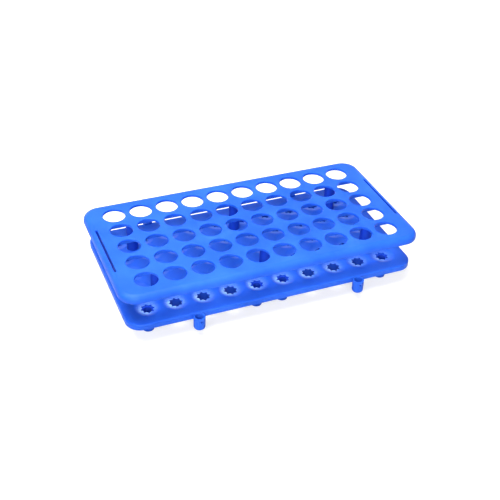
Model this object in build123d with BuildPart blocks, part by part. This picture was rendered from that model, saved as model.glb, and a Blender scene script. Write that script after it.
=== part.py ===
from build123d import *
import os
from math import cos, pi, sin

# Two-tier rack for 50 centrifuge tubes of 15 ml.
# Frame: origin on the floor under the middle of the tube grid, +X along the ten columns,
# +Y from the front row to the rear row, +Z up. Millimetres.

# ---- tube grid ----
pitch = 22.0                 # the caps of the tubes are just under 22 wide
columns, rows = 10, 5
tube_hole_radius = 9.0

# ---- heights above the floor ----
rack_height = 46.8           # upper face of the top tray
lower_face = 20.3            # upper face of the lower tray

# ---- top tray ----
top_length, top_width, top_corner = 245.0, 125.4, 13.8
top_edge_radius = 4.5
top_depth = 6.4              # deck and skirt together
wall = 2.2                   # deck and skirt thickness
deck_underside = rack_height - wall
rib_width, rib_depth = 1.8, 2.6
rib_rows = (-1.5 * pitch, -0.5 * pitch, 0.5 * pitch, 1.5 * pitch)
rib_post_gap = 0.3
slot_offset = 117.7          # label slot from the middle of the rack
slot_length, slot_width = 56.6, 1.8
slot_wall = 1.2              # the slots are lined down to the rim of the skirt
slot_lining_start = slot_offset - slot_width / 2 - slot_wall
slot_lining = top_length / 2 - wall / 2 - slot_lining_start

# ---- lower tray ----
lower_length, lower_width, lower_corner = 237.0, 125.4, 12.3
lower_edge_radius = 1.0
lower_depth = 5.2
lower_wall = 2.2
lower_underside = lower_face - lower_wall
skirt_face = lower_width / 2
dish_radius, dish_floor_radius, dish_depth = 9.6, 6.2, 1.2
star_points = 8
star_tip_radius, star_root_radius = 5.7, 4.1
sleeve_radius, sleeve_bore_radius, sleeve_length = 7.2, 5.8, 8.8    # short sleeve under each star

# ---- posts between the trays ----
post_radius, post_bore_radius = 4.6, 3.2
post_columns = {"left": -4.0 * pitch, "middle": 0.0, "right": 4.0 * pitch}
post_rows = {"front": -1.5 * pitch, "rear": 1.5 * pitch}
spigot_radius, spigot_length = 2.85, 8.0
spigot_chamfer = 0.8

# ---- feet ----
foot_radius, foot_bore_radius = 4.6, 3.2
foot_edge_radius = 0.6
foot_columns = {
    "left_end": -4.5 * pitch,
    "left_inner": -0.5 * pitch,
    "right_inner": 0.5 * pitch,
    "right_end": 4.5 * pitch,
}
foot_rows = {"front": -2.0 * pitch, "rear": 2.0 * pitch}

# ---- links to the next rack: cups in front, hooks behind ----
link_columns = {"left": -3.0 * pitch, "right": 3.0 * pitch}
cup_offset = 66.3            # cup axis in front of the middle of the rack
cup_radius, cup_bore_radius = 4.5, 3.2
cup_top, cup_bottom = 19.7, 8.6
cup_bore_depth = 9.0
cup_end_radius = 2.4
cup_drain_radius = 0.8
cup_drain_height = 16.9
cup_lip_radius = 0.4
hook_offset = 67.4           # pin axis behind the middle of the rack
hook_width = 6.2
hook_arm_height, hook_tip_height = 1.9, 0.5
hook_slope_start, hook_end = 66.6, 70.8    # the arm thins towards its end
hook_corner_radius = 1.4
pin_radius, pin_length = 2.9, 8.0
pin_chamfer = 0.7


def tray_shell(length, width, corner, top, depth, edge_radius, thickness):
    """Rounded tray, open underneath, with its upper face at the given height."""
    inner_edge_radius = max(edge_radius - thickness, 0.4)
    with BuildPart() as shell:
        with BuildSketch(Plane.XY.offset(top - depth)):
            RectangleRounded(length, width, corner)
        extrude(amount=depth)
        fillet(shell.faces().sort_by(Axis.Z)[-1].edges(), radius=edge_radius)
    with BuildPart() as hollow:
        with BuildSketch(Plane.XY.offset(top - depth)):
            RectangleRounded(length - 2 * thickness, width - 2 * thickness, corner - thickness)
        extrude(amount=depth - thickness)
        fillet(hollow.faces().sort_by(Axis.Z)[-1].edges(), radius=inner_edge_radius)
    return shell.part - hollow.part


def write(piece, name):
    piece.label = name
    export_step(piece, f"parts/{name}.step")


os.makedirs("parts", exist_ok=True)

# ---- top tray: deck with tube holes, label slots and six spigots that enter the posts ----
with BuildPart() as top_tray:
    add(tray_shell(top_length, top_width, top_corner, rack_height, top_depth, top_edge_radius, wall))
    with BuildSketch(Plane.XY.offset(rack_height - top_depth)):
        with GridLocations(2 * slot_lining_start + slot_lining, 0, 2, 1):
            Rectangle(slot_lining, slot_length + 2 * slot_wall)
    extrude(amount=top_depth - wall)
    with BuildSketch(Plane.XY.offset(rack_height)):
        with GridLocations(pitch, pitch, columns, rows):
            Circle(tube_hole_radius)
        with GridLocations(2 * slot_offset, 0, 2, 1):
            SlotOverall(slot_length, slot_width, rotation=90)
    extrude(amount=-top_depth, mode=Mode.SUBTRACT)
    with BuildSketch(Plane.XY.offset(deck_underside)):
        for x in post_columns.values():
            with Locations((x, post_rows["front"]), (x, post_rows["rear"])):
                Circle(spigot_radius)
    extrude(amount=-spigot_length)
    spigot_ends = top_tray.faces().filter_by(Plane.XY).sort_by(Axis.Z)[:6]
    chamfer(spigot_ends.edges(), length=spigot_chamfer)
    # ribs between the rows: the outer pair reach the end skirts, the inner pair the slot linings
    with BuildSketch(Plane.XY.offset(deck_underside)):
        for y in rib_rows:
            outer = abs(y) > pitch
            reach = top_length - 2 * wall if outer else 2 * slot_lining_start
            with Locations((0, y)):
                Rectangle(reach, rib_width)
        for x in post_columns.values():
            with Locations((x, post_rows["front"]), (x, post_rows["rear"])):
                Circle(post_radius + rib_post_gap, mode=Mode.SUBTRACT)
    extrude(amount=-rib_depth)
write(top_tray.part, "top_tray")

# ---- lower tray: shallow dishes with star-shaped drain holes, seats for the posts and feet ----
star_angles = [k * pi / star_points for k in range(2 * star_points)]
star_radii = [star_tip_radius, star_root_radius] * star_points
star_outline = [(r * cos(a), r * sin(a)) for r, a in zip(star_radii, star_angles)]

with BuildPart() as lower_tray:
    add(
        tray_shell(
            lower_length, lower_width, lower_corner, lower_face, lower_depth, lower_edge_radius, lower_wall
        )
    )
    with BuildSketch(Plane.XY.offset(lower_underside)):
        with GridLocations(pitch, pitch, columns, rows):
            Circle(sleeve_radius)
            Circle(sleeve_bore_radius, mode=Mode.SUBTRACT)
    extrude(amount=-sleeve_length)
    # the sleeves that hold the feet are thicker
    with BuildSketch(Plane.XY.offset(lower_underside)):
        for x in foot_columns.values():
            with Locations((x, foot_rows["front"]), (x, foot_rows["rear"])):
                Circle(sleeve_radius)
                Circle(foot_radius, mode=Mode.SUBTRACT)
    extrude(amount=-sleeve_length)
    with Locations((0, 0, lower_face - dish_depth / 2)):
        with GridLocations(pitch, pitch, columns, rows):
            Cone(dish_floor_radius, dish_radius, dish_depth, mode=Mode.SUBTRACT)
    with BuildSketch(Plane.XY.offset(lower_face)):
        with GridLocations(pitch, pitch, columns, rows):
            Polygon(*star_outline, align=None)
        for x in post_columns.values():
            with Locations((x, post_rows["front"]), (x, post_rows["rear"])):
                Circle(post_radius)
    extrude(amount=-lower_wall, mode=Mode.SUBTRACT)
write(lower_tray.part, "lower_tray")

# ---- six tubular posts, pressed through the lower tray, that carry the top tray ----
for side, x in post_columns.items():
    for row, y in post_rows.items():
        with BuildPart() as post:
            with BuildSketch(Plane.XY.offset(lower_underside)):
                with Locations((x, y)):
                    Circle(post_radius)
                    Circle(post_bore_radius, mode=Mode.SUBTRACT)
            extrude(amount=deck_underside - lower_underside)
        write(post.part, f"post_{row}_{side}")

# ---- eight tubular feet under the dishes of the front and rear rows ----
for side, x in foot_columns.items():
    for row, y in foot_rows.items():
        with BuildPart() as foot:
            with BuildSketch(Plane.XY):
                with Locations((x, y)):
                    Circle(foot_radius)
                    Circle(foot_bore_radius, mode=Mode.SUBTRACT)
            extrude(amount=lower_underside)
            floor_edges = foot.edges().group_by(Axis.Z)[0]
            fillet(floor_edges.sort_by(SortBy.RADIUS)[-1], radius=foot_edge_radius)
        write(foot.part, f"foot_{row}_{side}")

# ---- link cups on the front skirt: blind tubes that take the next rack's hooks ----
for side, x in link_columns.items():
    with BuildPart() as cup:
        with BuildSketch(Plane.XY.offset(cup_bottom)):
            with Locations((x, -cup_offset)):
                Circle(cup_radius)
        extrude(amount=cup_top - cup_bottom)
        fillet(cup.edges().group_by(Axis.Z)[0], radius=cup_end_radius)
        with BuildSketch(Plane.XY.offset(lower_face - lower_depth)):
            with Locations((x, -(cup_offset + skirt_face - lower_wall) / 2)):
                Rectangle(2 * cup_bore_radius, cup_offset - skirt_face + lower_wall)
        extrude(amount=cup_top - lower_face + lower_depth)
        with BuildSketch(Plane.XY.offset(cup_top)):
            with Locations((x, -cup_offset)):
                Circle(cup_bore_radius)
        extrude(amount=-cup_bore_depth, mode=Mode.SUBTRACT)
        mouth = cup.edges().filter_by(GeomType.CIRCLE).group_by(Axis.Z)[-1].sort_by(SortBy.RADIUS)[0]
        fillet(mouth, radius=cup_lip_radius)
        with BuildSketch(Plane.XZ.offset(cup_offset)):
            with Locations((x, cup_drain_height)):
                Circle(cup_drain_radius)
        extrude(amount=2 * cup_radius, mode=Mode.SUBTRACT)
        add(lower_tray.part, mode=Mode.SUBTRACT)
    write(cup.part, f"link_cup_{side}")

# ---- link hooks on the rear skirt: an arm with a pin that points down ----
for side, x in link_columns.items():
    with BuildPart() as hook:
        with BuildSketch(Plane.YZ.offset(x)):
            with BuildLine():
                Polyline(
                    (skirt_face - lower_wall, cup_top),
                    (hook_end, cup_top),
                    (hook_end, cup_top + hook_tip_height),
                    (hook_slope_start, cup_top + hook_arm_height),
                    (skirt_face - lower_wall, cup_top + hook_arm_height),
                    close=True,
                )
            make_face()
        extrude(amount=hook_width / 2, both=True)
        fillet(hook.edges().filter_by(Axis.Z).group_by(Axis.Y)[-1], radius=hook_corner_radius)
        with BuildSketch(Plane.XY.offset(cup_top)):
            with Locations((x, hook_offset)):
                Circle(pin_radius)
        extrude(amount=-pin_length)
        pin_end = hook.faces().sort_by(Axis.Z)[0]
        chamfer(pin_end.edges(), length=pin_chamfer)
        add(lower_tray.part, mode=Mode.SUBTRACT)
    write(hook.part, f"link_hook_{side}")
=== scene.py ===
"""Two-tier test tube rack in moulded blue polypropylene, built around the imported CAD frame."""
from math import acos, asin, cos, pi, radians, sin

import bmesh
import bpy
from mathutils import Matrix, Vector
from mathutils.geometry import delaunay_2d_cdt


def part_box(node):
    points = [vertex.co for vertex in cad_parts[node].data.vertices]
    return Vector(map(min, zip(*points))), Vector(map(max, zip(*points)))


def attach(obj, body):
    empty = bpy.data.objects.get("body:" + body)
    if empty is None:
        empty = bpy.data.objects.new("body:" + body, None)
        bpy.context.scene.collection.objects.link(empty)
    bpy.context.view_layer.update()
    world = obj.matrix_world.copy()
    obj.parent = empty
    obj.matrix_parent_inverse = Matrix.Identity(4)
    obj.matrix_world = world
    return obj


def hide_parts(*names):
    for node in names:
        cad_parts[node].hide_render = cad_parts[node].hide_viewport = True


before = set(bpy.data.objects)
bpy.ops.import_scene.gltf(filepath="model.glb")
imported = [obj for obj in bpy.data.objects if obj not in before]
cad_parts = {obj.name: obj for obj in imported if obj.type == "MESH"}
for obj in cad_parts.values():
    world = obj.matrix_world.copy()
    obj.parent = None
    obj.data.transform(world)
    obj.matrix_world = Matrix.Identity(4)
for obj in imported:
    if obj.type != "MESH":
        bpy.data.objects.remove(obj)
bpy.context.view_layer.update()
MM = 0.001

# ---------------------------------------------------------------- sizes
TOP_LOW, TOP_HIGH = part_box("top_tray")
LOW_LOW, LOW_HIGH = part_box("lower_tray")
PITCH = 22 * MM
COLUMNS, ROWS = 10, 5
GRID = [
    ((c - (COLUMNS - 1) / 2) * PITCH, ((ROWS - 1) / 2 - r) * PITCH)
    for r in range(ROWS) for c in range(COLUMNS)
]
POST_PLACES = [(x * PITCH, y * PITCH) for x in (-4, 0, 4) for y in (-1.5, 1.5)]
FOOT_PLACES = [(x * PITCH, y * PITCH) for x in (-4.5, -0.5, 0.5, 4.5) for y in (-2, 2)]
ROUND = 48                      # steps round a hole; a multiple of 16 for the stars
LIP = 0.35 * MM                 # rounding of the moulded edges

TOP_FACE = TOP_HIGH[2]
TOP_RIM = TOP_FACE - 6.4 * MM
TOP_WALL, TOP_EDGE, TOP_CORNER = 2.2 * MM, 4.5 * MM, 13.8 * MM
TOP_INNER = TOP_EDGE - TOP_WALL     # rounding inside the edge
TUBE_HOLE = 9.0 * MM
SLOT_X, SLOT_LENGTH, SLOT_WIDTH, SLOT_LINING = 117.7 * MM, 56.6 * MM, 1.8 * MM, 1.2 * MM
SLOT_SHADE = 1.2 * MM               # depth down the slot at which its wall is painted dark as shade
SLOT_REACH = 31 * MM                # half the length of edge that makes room for a slot
SPIGOT, SPIGOT_CHAMFER = 2.85 * MM, 0.8 * MM
RIB_WIDTH, RIB_DEPTH, RIB_POST_GAP = 1.8 * MM, 2.6 * MM, 4.9 * MM

LOWER_FACE, LOWER_RIM = LOW_HIGH[2], LOW_HIGH[2] - 5.2 * MM
LOW_WALL, LOW_EDGE, LOW_CORNER = 2.2 * MM, 1.0 * MM, 12.3 * MM
LOW_INNER = 0.4 * MM
DISH, DISH_FLOOR, DISH_DEPTH = 9.6 * MM, 6.2 * MM, 1.2 * MM
STAR_TIP, STAR_ROOT, STAR_POINTS = 5.7 * MM, 4.1 * MM, 8
SLEEVE, SLEEVE_BORE, FOOT_SLEEVE_BORE, SLEEVE_END = 7.2 * MM, 5.8 * MM, 4.65 * MM, LOW_LOW[2]
TUBE, TUBE_BORE = 4.6 * MM, 3.2 * MM
TUBE_END, FOOT_END = 0.25 * MM, 0.6 * MM        # rounding of the ends
OUTSIDE, BORE = 1, -1
UPPER, LOWER = 1, -1

# ---------------------------------------------------------------- painted highlight and painted shade, from 0 to 1
HIGHLIGHT_SIDE = radians(205)                       # the side of a dish where the painted highlight is strongest, the side facing the light
HIGHLIGHT_ALL_ROUND, HIGHLIGHT_ELSEWHERE = 0.26, 0.2    # painted highlight's share on every side, and behind the front row
HIGHLIGHT_FALL = 1.6                                # how fast it fades outwards from the star
HIGHLIGHT_MIDDLE, HIGHLIGHT_FADE = 1.15, 0.13           # in the front row: at the middle, and the loss per column
# painted shade where the star sleeves, slots, tube ends, posts and feet lie in shadow
STAR_PAINTED_SHADE, SLOT_PAINTED_SHADE, SLOT_RIM_PAINTED_SHADE = 0.45, 0.7, 1.0
TUBE_END_PAINTED_SHADE, POST_PAINTED_SHADE, FOOT_PAINTED_SHADE = 0.8, 0.6, 0.1


# ---------------------------------------------------------------- mesh helpers
class Mesh:
    """Collects loops of vertices and the faces between them, and makes one object of them."""

    def __init__(self):
        self.bm = bmesh.new()
        # vertex layers: painted highlight round the stars, painted shade in the recesses
        self.painted_highlight = self.bm.verts.layers.float.new("painted_highlight")
        self.painted_shade = self.bm.verts.layers.float.new("painted_shade")

    def loop(self, points, painted_highlight=0.0, painted_shade=0.0):
        """New vertices; the painted highlight may be one number or one for each point, and the painted shade
        is one number.
        """
        made = [self.bm.verts.new(p) for p in points]
        for k, v in enumerate(made):
            v[self.painted_highlight] = painted_highlight if isinstance(painted_highlight, float) else painted_highlight[k]
            v[self.painted_shade] = painted_shade
        return made

    def skin(self, loops):
        """Quads between neighbouring loops of the same length."""
        for a, b in zip(loops, loops[1:]):
            n = len(a)
            for i in range(n):
                self.bm.faces.new((a[i], a[(i + 1) % n], b[(i + 1) % n], b[i]))

    def cap(self, loop):
        self.bm.faces.new(loop)

    def fill(self, outer, *holes):
        """Triangles on one level between an outer loop and the convex loops inside it."""
        corners, pairs, owner = [], [], []
        for number, loop in enumerate((outer, *holes)):
            start, n = len(corners), len(loop)
            corners += loop
            pairs += [(start + i, start + (i + 1) % n) for i in range(n)]
            owner += [number] * n
        inside, same_point = 1, 1e-7
        faces, source = delaunay_2d_cdt([v.co.xy for v in corners], pairs, [], inside, same_point)[2:4]
        for face in faces:
            used = [source[k][0] for k in face]
            owners = {owner[k] for k in used}
            if len(owners) > 1 or owners == {0}:
                self.bm.faces.new([corners[k] for k in used])

    def finish(self, name, material, nodes, body):
        bm = self.bm
        bmesh.ops.recalc_face_normals(bm, faces=bm.faces)
        for f in bm.faces:
            f.smooth = True
        mesh = bpy.data.meshes.new(name)
        bm.to_mesh(mesh)
        bm.free()
        piece = bpy.data.objects.new(name, mesh)
        bpy.context.scene.collection.objects.link(piece)
        piece.data.materials.append(material)
        weighted = piece.modifiers.new("flat faces stay flat", "WEIGHTED_NORMAL")
        weighted.weight = 80
        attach(piece, body)
        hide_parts(*nodes)


def arc(steps):
    return [pi / 2 * k / steps for k in range(steps + 1)]


def ring(radius, z, x, y):
    turns = [2 * pi * k / ROUND for k in range(ROUND)]
    return [(x + radius * cos(a), y + radius * sin(a), z) for a in turns]


def slot_ring(x, grow, height):
    """The label slot's outline grown by grow; height(x) gives the surface it lies on."""
    r, half, steps = SLOT_WIDTH / 2 + grow, (SLOT_LENGTH - SLOT_WIDTH) / 2, 8
    points = []
    for centre, turn in ((half, 0), (-half, pi)):
        for k in range(steps + 1):
            a = turn + pi * k / steps
            px = x + r * cos(a)
            points.append((px, centre + r * sin(a), height(px)))
    return points


def outline(half_x, half_y, corner, shape, corner_steps=14, side_x=24, side_y=24):
    """Rounded rectangle, anticlockwise, as (x, y, z); shape(y, on_end) gives (inset, z) for each point."""
    anchors = []
    straight_x, straight_y = half_x - corner, half_y - corner
    for k in range(corner_steps + 1):
        anchors.append((straight_x, straight_y, pi / 2 * k / corner_steps))
    for k in range(1, side_x):
        anchors.append((straight_x - 2 * straight_x * k / side_x, straight_y, pi / 2))
    for k in range(corner_steps + 1):
        anchors.append((-straight_x, straight_y, pi / 2 + pi / 2 * k / corner_steps))
    for k in range(1, side_y):
        anchors.append((-straight_x, straight_y - 2 * straight_y * k / side_y, pi))
    anchors += [(-x, -y, a + pi) for x, y, a in anchors]
    points = []
    for x, y, a in anchors:
        inset, z = shape(y, abs(cos(a)) > 0.99)
        points.append((x + (corner - inset) * cos(a), y + (corner - inset) * sin(a), z))
    return points


def rounded_wall(half, corner, top, bottom, edge, inner, wall, end_reach=0.0):
    """Loops from the deck's flat upper side over the rounded edge, down the skirt and up inside it.

    Where a label slot needs room, within end_reach of the middle of a short side, the first and last loops
    keep to the outer part of the rounding.
    """
    rim, steps = 0.6 * MM, 8
    strip = 0.4 * MM            # flat strip between the rounding and the first and last loop
    slot_clear = half[0] - (SLOT_X + SLOT_WIDTH / 2 + LIP) - 0.15 * MM
    lining_clear = half[0] - (SLOT_X + SLOT_WIDTH / 2 + SLOT_LINING) - 0.25 * MM
    outer_start = asin((edge - slot_clear) / edge) if end_reach else 0.0
    inner_stop = acos((wall + inner - lining_clear) / inner) if end_reach else pi / 2

    def near_slot(y, on_end):
        return on_end and abs(y) < end_reach

    def outer(k, t):
        def shape(y, on_end):
            a = max(t, outer_start + 0.02 * k) if near_slot(y, on_end) else t
            flat = strip if k == 0 and not near_slot(y, on_end) else 0.0
            return edge - edge * sin(a) + flat, top - edge + edge * cos(a)
        return shape

    def inside(k, t):
        def shape(y, on_end):
            a = min(t, inner_stop - 0.01 * k) if near_slot(y, on_end) else t
            flat = strip if k == 0 and not near_slot(y, on_end) else 0.0
            return wall + inner - inner * cos(a) + flat, top - wall - inner + inner * sin(a)
        return shape

    def plain(inset, z):
        return lambda y, on_end: (inset, z)

    shapes = [outer(k, t) for k, t in enumerate([0.0] + arc(steps))]
    shapes += [plain(rim - rim * cos(t), bottom + rim - rim * sin(t)) for t in arc(4)]
    shapes += [plain(wall - rim + rim * sin(t), bottom + rim - rim * cos(t)) for t in arc(4)]
    turns = arc(steps) + [pi / 2]
    shapes += [inside(len(turns) - 1 - i, t) for i, t in enumerate(turns)]
    return [outline(half[0], half[1], corner, s) for s in shapes]


def lathe(m, profile, x, y, painted_shade=0.0):
    """Loops turned about the upright axis at x, y; profile is a list of (radius, z)."""
    loops = [m.loop(ring(r, z, x, y), painted_shade=painted_shade) for r, z in profile]
    m.skin(loops)
    return loops


def soft_corner(r, z, radius, side, end):
    """Profile points round a tube's rim at (r, z), from its wall to its end face.

    side is OUTSIDE or BORE, and end is UPPER or LOWER.
    """
    across, along = side * radius, end * radius
    return [(r - across + across * cos(t), z - along + along * sin(t)) for t in arc(3)]


# ---------------------------------------------------------------- top tray
def rib(m, left, right, y, under):
    """A straight rib moulded to the underside of the deck, with its lower edges rounded."""
    middle, half_x, half_y = (left + right) / 2, (right - left) / 2, RIB_WIDTH / 2
    soft, low = 0.3 * MM, under - RIB_DEPTH

    def level(inset, z):
        shape = outline(half_x - inset, half_y - inset, soft, lambda *at: (0.0, z), 3, 40, 2)
        return m.loop([(middle + px, y + py, pz) for px, py, pz in shape])

    loops = [level(soft * (1 - sin(t)), low + soft * (1 - cos(t))) for t in arc(3)]
    loops.append(level(0.0, under + 0.2 * MM))
    m.cap(loops[0])
    m.skin(loops)
    m.cap(loops[-1])


def make_top_tray(material):
    m = Mesh()
    under = TOP_FACE - TOP_WALL
    upper, lower = [], []
    for x, y in GRID:
        profile = [(TUBE_HOLE + 2.5 * LIP, TOP_FACE)]
        profile += [(TUBE_HOLE + LIP - LIP * sin(t), TOP_FACE - LIP + LIP * cos(t)) for t in arc(4)]
        profile += [(TUBE_HOLE + LIP - LIP * cos(t), under + LIP - LIP * sin(t)) for t in arc(4)]
        profile += [(TUBE_HOLE + 2.5 * LIP, under)]
        loops = lathe(m, profile, x, y)
        upper.append(loops[0])
        lower.append(loops[-1])

    half = (TOP_HIGH[0], TOP_HIGH[1])
    flat_end = half[0] - TOP_EDGE

    def over(px):
        return TOP_FACE - TOP_EDGE + (TOP_EDGE ** 2 - max(0.0, abs(px) - flat_end) ** 2) ** 0.5

    def beneath(px):
        return TOP_FACE - TOP_EDGE + (TOP_INNER ** 2 - max(0.0, abs(px) - flat_end) ** 2) ** 0.5

    for x in (-SLOT_X, SLOT_X):
        soft = 0.3 * MM
        levels = [(LIP - LIP * sin(t), lambda px, t=t: over(px) - LIP + LIP * cos(t), 0.0) for t in arc(3)]
        # painted shade down the slot's wall and round its lower rim
        levels.append((0.0, lambda px: over(px) - SLOT_SHADE, SLOT_PAINTED_SHADE))
        levels += [
            (soft - soft * cos(t), lambda px, t=t: TOP_RIM + soft - soft * sin(t), SLOT_RIM_PAINTED_SHADE)
            for t in arc(2)
        ]
        levels += [
            (SLOT_LINING - soft + soft * sin(t), lambda px, t=t: TOP_RIM + soft - soft * cos(t), 0.0)
            for t in arc(2)
        ]
        levels.append((SLOT_LINING, beneath, 0.0))
        loops = [m.loop(slot_ring(x, grow, height), painted_shade=painted_shade) for grow, height, painted_shade in levels]
        m.skin(loops)
        upper.append(loops[0])
        lower.append(loops[-1])

    for x, y in POST_PLACES:
        end = TOP_LOW[2]
        profile = [(SPIGOT + LIP * (1 - sin(t)), under - LIP * (1 - cos(t))) for t in arc(3)]
        profile += [(SPIGOT, end + SPIGOT_CHAMFER), (SPIGOT - SPIGOT_CHAMFER, end)]
        loops = lathe(m, profile, x, y)
        lower.append(loops[0])
        m.cap(loops[-1])

    wall = [
        m.loop(p)
        for p in rounded_wall(half, TOP_CORNER, TOP_FACE, TOP_RIM, TOP_EDGE, TOP_INNER, TOP_WALL, SLOT_REACH)
    ]
    m.skin(wall)
    m.fill(wall[0], *upper)
    m.fill(wall[-1], *lower)

    skirt = half[0] - TOP_WALL + 0.2 * MM
    stop = SLOT_X - SLOT_WIDTH / 2 - SLOT_LINING + 0.3 * MM
    beside_posts = [x + side * RIB_POST_GAP for x in (4 * PITCH, 0, -4 * PITCH) for side in (1, -1)]
    ends = [skirt] + beside_posts + [-skirt]
    for y in (-1.5 * PITCH, 1.5 * PITCH):
        for right, left in zip(ends[::2], ends[1::2]):
            rib(m, left, right, y, under)
    for y in (-0.5 * PITCH, 0.5 * PITCH):
        rib(m, -stop, stop, y, under)
    m.finish("top_tray_moulding", material, ["top_tray"], "top")


# ---------------------------------------------------------------- lower tray
def star(grow, z, x, y):
    """The star outline, with equal steps along each of its sides."""
    corners = [((STAR_TIP, STAR_ROOT)[k % 2] + grow, pi * k / STAR_POINTS) for k in range(2 * STAR_POINTS)]
    steps = ROUND // len(corners)
    points = []
    for k, (r, a) in enumerate(corners):
        r2, a2 = corners[(k + 1) % len(corners)]
        for j in range(steps):
            t = j / steps
            points.append((
                x + (1 - t) * r * cos(a) + t * r2 * cos(a2),
                y + (1 - t) * r * sin(a) + t * r2 * sin(a2),
                z,
            ))
    return points


def painted_highlight_ring(radius, x, y):
    """How strong the painted highlight is at each point of a ring round a dish.

    The painted highlight stands in for light through the thin dish and its sheen. It is strongest beside the
    star, on the front left side that faces the light, and in the front row, where it fades to the right.
    """
    near = max(0.0, min(1.0, (DISH - radius) / (DISH - STAR_TIP))) ** HIGHLIGHT_FALL
    in_front_row = y < -1.5 * PITCH
    place = min(1.0, HIGHLIGHT_MIDDLE - HIGHLIGHT_FADE * x / PITCH) if in_front_row else HIGHLIGHT_ELSEWHERE
    facing = [max(0.0, cos(2 * pi * k / ROUND - HIGHLIGHT_SIDE)) for k in range(ROUND)]
    return [place * near * (HIGHLIGHT_ALL_ROUND + (1 - HIGHLIGHT_ALL_ROUND) * f) for f in facing]


def make_lower_tray(material):
    m = Mesh()
    under, dish_floor, lip = LOWER_FACE - LOW_WALL, LOWER_FACE - DISH_DEPTH, 0.2 * MM
    edge_in, edge_drop = 0.5 * MM, 0.28 * MM        # where the dish's rounded edge meets its slope
    edge = ((0.4 * MM, 0.03 * MM), (0.0, 0.13 * MM), (-edge_in, edge_drop))
    upper, lower = [], []
    for x, y in GRID:
        loops = [m.loop(ring(DISH + 0.9 * MM, LOWER_FACE, x, y))]
        # the dish and the star's lip carry the painted highlight, standing in for light through the thin
        # dish and its sheen
        for out, drop in edge:
            loops.append(m.loop(ring(DISH + out, LOWER_FACE - drop, x, y), painted_highlight_ring(DISH + out, x, y)))
        for k in (1, 2, 3, 4):
            r = DISH - edge_in - (DISH - edge_in - DISH_FLOOR) * k / 4
            z = LOWER_FACE - edge_drop - (DISH_DEPTH - edge_drop) * k / 4
            loops.append(m.loop(ring(r, z, x, y), painted_highlight_ring(r, x, y)))
        for t in arc(2):
            points = star(lip - lip * sin(t), dish_floor - lip + lip * cos(t), x, y)
            loops.append(m.loop(points, painted_highlight_ring(STAR_TIP, x, y)))
        # painted shade on the star's walls and down the sleeve's bore
        loops.append(m.loop(star(0.0, dish_floor - 0.45 * MM, x, y), painted_shade=STAR_PAINTED_SHADE))
        loops.append(m.loop(star(0.0, under + 0.1 * MM, x, y), painted_shade=STAR_PAINTED_SHADE))
        rim = 0.4 * MM
        bore = FOOT_SLEEVE_BORE if (x, y) in FOOT_PLACES else SLEEVE_BORE
        profile = [(bore, under - 0.5 * MM)]
        profile += [(bore + rim - rim * cos(t), SLEEVE_END + rim - rim * sin(t)) for t in arc(2)]
        loops += [m.loop(ring(r, z, x, y), painted_shade=STAR_PAINTED_SHADE) for r, z in profile]
        profile = [(SLEEVE - rim + rim * sin(t), SLEEVE_END + rim - rim * cos(t)) for t in arc(2)]
        profile += [(SLEEVE + 0.5 * MM * (1 - cos(t)), under - 0.5 * MM * (1 - sin(t))) for t in arc(3)]
        loops += [m.loop(ring(r, z, x, y)) for r, z in profile]
        m.skin(loops)
        upper.append(loops[0])
        lower.append(loops[-1])
    for x, y in POST_PLACES:
        fit = TUBE + 0.05 * MM
        profile = [(fit + lip - lip * sin(t), LOWER_FACE - lip + lip * cos(t)) for t in arc(2)]
        profile += [(fit + lip - lip * cos(t), under + lip - lip * sin(t)) for t in arc(2)]
        loops = lathe(m, profile, x, y)
        upper.append(loops[0])
        lower.append(loops[-1])
    half = (LOW_HIGH[0], LOW_HIGH[1])
    wall = [
        m.loop(p)
        for p in rounded_wall(half, LOW_CORNER, LOWER_FACE, LOWER_RIM, LOW_EDGE, LOW_INNER, LOW_WALL)
    ]
    m.skin(wall)
    m.fill(wall[0], *upper)
    m.fill(wall[-1], *lower)
    m.finish("lower_tray_moulding", material, ["lower_tray"], "base")


# ---------------------------------------------------------------- posts and feet
def make_tube(name, x, y, low, high, low_round, material, painted_shade):
    """A hollow post or foot with its lower outer edge rounded; its upper end and bore are painted dark as
    shade, and its outside gets the painted shade given.
    """
    m = Mesh()
    bore = soft_corner(TUBE_BORE, low, TUBE_END, BORE, LOWER)[::-1]
    bore += soft_corner(TUBE_BORE, high, TUBE_END, BORE, UPPER)
    upper_rim = soft_corner(TUBE, high, TUBE_END, OUTSIDE, UPPER)[::-1]
    lower_rim = soft_corner(TUBE, low, low_round, OUTSIDE, LOWER)
    upper = lathe(m, upper_rim, x, y, painted_shade=TUBE_END_PAINTED_SHADE)
    lower = lathe(m, lower_rim, x, y, painted_shade=painted_shade)
    inside = lathe(m, bore, x, y, painted_shade=TUBE_END_PAINTED_SHADE)
    m.skin([upper[-1], lower[0]])
    m.skin([lower[-1], inside[0]])
    m.skin([inside[-1], upper[0]])
    m.finish(name + "_tube", material, [name], "base")


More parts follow.
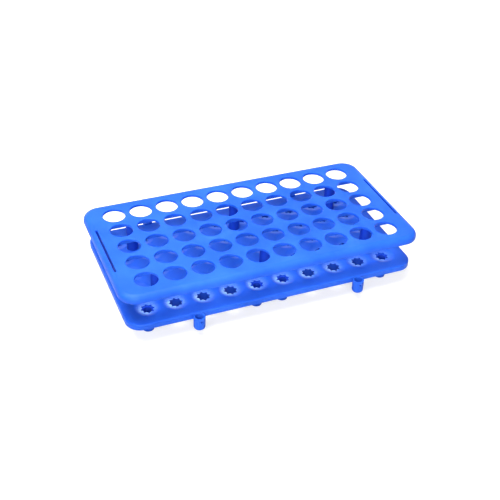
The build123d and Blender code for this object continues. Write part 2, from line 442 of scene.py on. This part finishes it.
# ---------------------------------------------------------------- materials
def plastic():
    """Blue polypropylene: satin, slightly cloudy, with fine surface grain.

    One vertex layer paints a highlight round the stars, standing in for light through the thin dish and its
    sheen. The other paints shade into the star sleeves, slots, posts and tube ends, darkening them and
    taking their gloss off.
    """
    mat = bpy.data.materials.new("blue polypropylene")
    mat.use_nodes = True
    nodes, links = mat.node_tree.nodes, mat.node_tree.links
    shader = nodes["Principled BSDF"]
    place = nodes.new("ShaderNodeTexCoord").outputs["Object"]

    def noise(scale, detail):
        node = nodes.new("ShaderNodeTexNoise")
        node.inputs["Scale"].default_value = scale
        node.inputs["Detail"].default_value = detail
        links.new(place, node.inputs["Vector"])
        return node

    def mask(layer):
        node = nodes.new("ShaderNodeAttribute")
        node.attribute_name = layer
        return node.outputs["Fac"]

    def spread(value, source, target):
        node = nodes.new("ShaderNodeMapRange")
        node.inputs["From Min"].default_value, node.inputs["From Max"].default_value = source
        node.inputs["To Min"].default_value, node.inputs["To Max"].default_value = target
        links.new(value, node.inputs["Value"])
        return node.outputs["Result"]

    def combine(operation, first, second):
        node = nodes.new("ShaderNodeMath")
        node.operation = operation
        links.new(first, node.inputs[0])
        links.new(second, node.inputs[1])
        return node.outputs["Value"]

    def towards(colour, factor, base):
        node = nodes.new("ShaderNodeMix")
        node.data_type = "RGBA"
        node.inputs["B"].default_value = colour
        links.new(factor, node.inputs["Factor"])
        links.new(base, node.inputs["A"])
        return node.outputs["Result"]

    cloud = noise(28, 4)
    cloud.inputs["Roughness"].default_value = 0.55
    tone = nodes.new("ShaderNodeValToRGB")
    tone.color_ramp.elements[0].position = 0.3
    tone.color_ramp.elements[0].color = (0.012, 0.080, 0.52, 1)
    tone.color_ramp.elements[1].position = 0.72
    tone.color_ramp.elements[1].color = (0.022, 0.120, 0.68, 1)
    links.new(cloud.outputs["Fac"], tone.inputs["Fac"])
    speckle = spread(noise(900, 3).outputs["Fac"], (0.35, 0.65), (0.55, 1.25))
    # painted highlight round the stars, whitening the base colour
    speckled_highlight = combine("MULTIPLY", mask("painted_highlight"), speckle)
    painted_shade = mask("painted_shade")
    with_painted_highlight = towards((0.30, 0.52, 1.0, 1), speckled_highlight, tone.outputs["Color"])
    # painted shade in the star sleeves, slots, posts and tube ends, darkening the base colour
    with_painted_shade = towards((0.004, 0.030, 0.42, 1), painted_shade, with_painted_highlight)
    links.new(with_painted_shade, shader.inputs["Base Color"])

    rough = spread(cloud.outputs["Fac"], (0.0, 1.0), (0.38, 0.52))
    links.new(combine("MAXIMUM", rough, painted_shade), shader.inputs["Roughness"])
    bump = nodes.new("ShaderNodeBump")
    bump.inputs["Strength"].default_value = 0.12
    bump.inputs["Distance"].default_value = 0.0002
    links.new(noise(1400, 2).outputs["Fac"], bump.inputs["Height"])
    links.new(bump.outputs["Normal"], shader.inputs["Normal"])

    shader.inputs["Subsurface Weight"].default_value = 0.25
    shader.inputs["Subsurface Radius"].default_value = (0.15, 0.45, 1.0)
    shader.inputs["Subsurface Scale"].default_value = 0.004
    shader.inputs["IOR"].default_value = 1.49
    shader.inputs["Specular IOR Level"].default_value = 0.22
    shader.inputs["Specular Tint"].default_value = (0.6, 0.8, 1.0, 1)
    return mat


blue = plastic()
make_top_tray(blue)
make_lower_tray(blue)
for name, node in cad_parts.items():
    low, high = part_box(name)
    x, y = (low[0] + high[0]) / 2, (low[1] + high[1]) / 2
    if name.startswith("post_"):
        make_tube(name, x, y, low[2], high[2], TUBE_END, blue, POST_PAINTED_SHADE)
    elif name.startswith("foot_"):
        make_tube(name, x, y, low[2], high[2], FOOT_END, blue, FOOT_PAINTED_SHADE)
    elif name.startswith("link_"):
        node.data.materials.clear()
        node.data.materials.append(blue)


# ---------------------------------------------------------------- floor, light and camera
def floor(name, height, grey, glow, seen):
    """A wide level sheet; the seen one is only looked at, and the other only bounces light."""
    bm = bmesh.new()
    bmesh.ops.create_grid(bm, x_segments=2, y_segments=2, size=6)
    mesh = bpy.data.meshes.new(name)
    bm.to_mesh(mesh)
    bm.free()
    obj = bpy.data.objects.new(name, mesh)
    obj.location.z = height
    bpy.context.scene.collection.objects.link(obj)
    mat = bpy.data.materials.new(name)
    mat.use_nodes = True
    shader = mat.node_tree.nodes["Principled BSDF"]
    shader.inputs["Base Color"].default_value = (grey, grey, grey, 1)
    shader.inputs["Roughness"].default_value = 0.9
    shader.inputs["Specular IOR Level"].default_value = 0.1
    shader.inputs["Emission Color"].default_value = (1, 1, 1, 1)
    shader.inputs["Emission Strength"].default_value = glow
    obj.data.materials.append(mat)
    obj.visible_camera = seen
    obj.visible_diffuse = obj.visible_glossy = obj.visible_transmission = obj.visible_shadow = not seen


def area_light(name, place, target, size, watts):
    data = bpy.data.lights.new(name, "AREA")
    data.shape = "RECTANGLE"
    data.size, data.size_y = size
    data.energy = watts
    obj = bpy.data.objects.new(name, data)
    obj.location = place
    obj.rotation_euler = (Vector(target) - Vector(place)).to_track_quat("-Z", "Y").to_euler()
    bpy.context.scene.collection.objects.link(obj)


def camera():
    """Seen from the front left, a little tilted."""
    azimuth, elevation, roll = radians(-23.59), radians(35.76), radians(2.41)
    distance = 695.0 * MM
    target = Vector((-14.4 * MM, -35.8 * MM, TOP_FACE))
    back = Vector((sin(azimuth) * cos(elevation), -cos(azimuth) * cos(elevation), sin(elevation)))
    right = Vector((cos(azimuth), sin(azimuth), 0))
    up = back.cross(right)
    turned_right = right * cos(roll) + up * sin(roll)
    turned_up = up * cos(roll) - right * sin(roll)
    data = bpy.data.cameras.new("camera")
    data.lens = 65.63
    data.sensor_width = 36
    obj = bpy.data.objects.new("camera", data)
    axes = Matrix((turned_right, turned_up, back)).transposed().to_4x4()
    obj.matrix_world = Matrix.Translation(target + back * distance) @ axes
    bpy.context.scene.collection.objects.link(obj)
    bpy.context.scene.camera = obj


floor("white sweep", 0.0, 0.5, 0.62, True)
floor("pale table", -0.05 * MM, 0.55, 0.0, False)
camera()
middle = (0, 0, 0.03)
area_light("overhead softbox", (-0.30, -0.05, 1.1), middle, (0.9, 0.8), 28)
area_light("front softbox", (-0.5, -1.1, 0.7), middle, (0.9, 0.6), 17)
area_light("low rear softbox", (0.35, 1.0, 0.16), middle, (1.8, 0.3), 4)
world = bpy.data.worlds.new("studio")
world.use_nodes = True
world.node_tree.nodes["Background"].inputs["Color"].default_value = (1, 1, 1, 1)
world.node_tree.nodes["Background"].inputs["Strength"].default_value = 0.18
bpy.context.scene.world = world
bpy.context.scene.view_settings.view_transform = "Standard"
